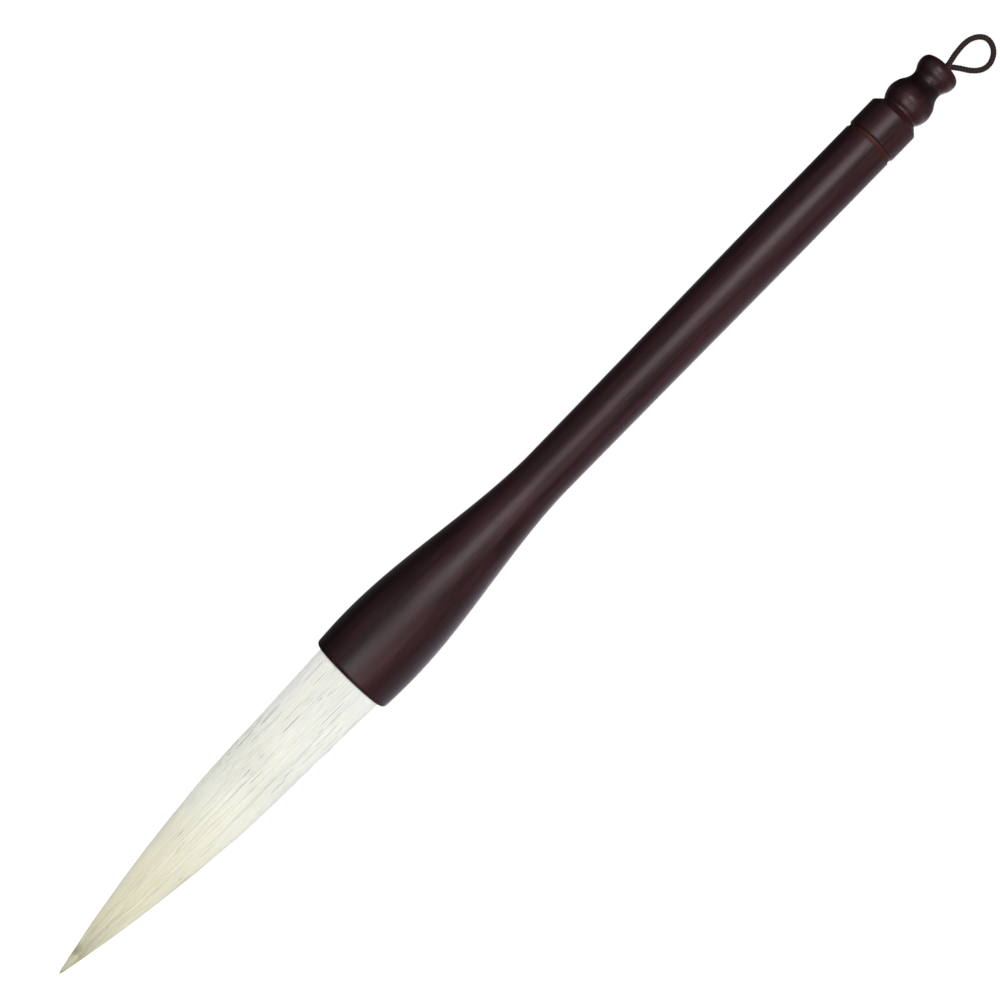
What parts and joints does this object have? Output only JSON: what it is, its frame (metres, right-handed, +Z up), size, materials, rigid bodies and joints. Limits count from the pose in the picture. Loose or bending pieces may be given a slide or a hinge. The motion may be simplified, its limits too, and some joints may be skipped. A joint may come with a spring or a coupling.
{
  "type": "calligraphy brush",
  "caption": "Large calligraphy brush: turned dark rosewood handle with a bell-shaped socket and finial, pointed white hair tuft that bends, and a hanging cord loop.",
  "frame": {"origin": "the point of the hair, on the brush's axis", "axes": "+Z up the brush from the point of the hair to the finial, along the handle's axis; +X is the side that the hanging loop leans to"},
  "size_m": [0.0228, 0.0228, 0.3126],
  "materials": {
    "rosewood": "satin varnish",
    "cover_hair": "combed hair",
    "core_hair": "combed hair",
    "cord": "twisted cord",
    "thread": "waxed thread",
    "rosin": "set rosin",
    "hide_glue": "dried glue"
  },
  "bodies": {
    "handle": {"handle": "rosewood", "finial": "rosewood", "tenon_glue": "hide_glue", "cover_hair_root": "cover_hair", "core_hair_root": "core_hair", "binding_thread": "thread", "root_seal": "rosin", "socket_glue": "hide_glue", "cord_tails": "cord", "cord_knot": "cord"},
    "belly": {"cover_hair_belly": "cover_hair", "core_hair_belly": "core_hair"},
    "tip": {"cover_hair_tip": "cover_hair", "core_hair_tip": "core_hair"},
    "loop": {"hanging_loop": "cord"}
  },
  "joints": [
    {"name": "belly_bend", "type": "hinge", "parent": "handle", "child": "belly", "pos_m": [0, 0, 0.086], "axis": [1, 0, 0], "range_deg": [-30, 30], "stiffness_Nm_per_rad": 0.03},
    {"name": "tip_bend", "type": "hinge", "parent": "belly", "child": "tip", "pos_m": [0, 0, 0.046], "axis": [0, 1, 0], "range_deg": [-35, 35], "stiffness_Nm_per_rad": 0.01},
    {"name": "loop_swing", "type": "hinge", "parent": "handle", "child": "loop", "pos_m": [0.0005, 0, 0.3006], "axis": [0, 1, 0], "range_deg": [-65, 12], "stiffness_Nm_per_rad": 0.0002}
  ]
}
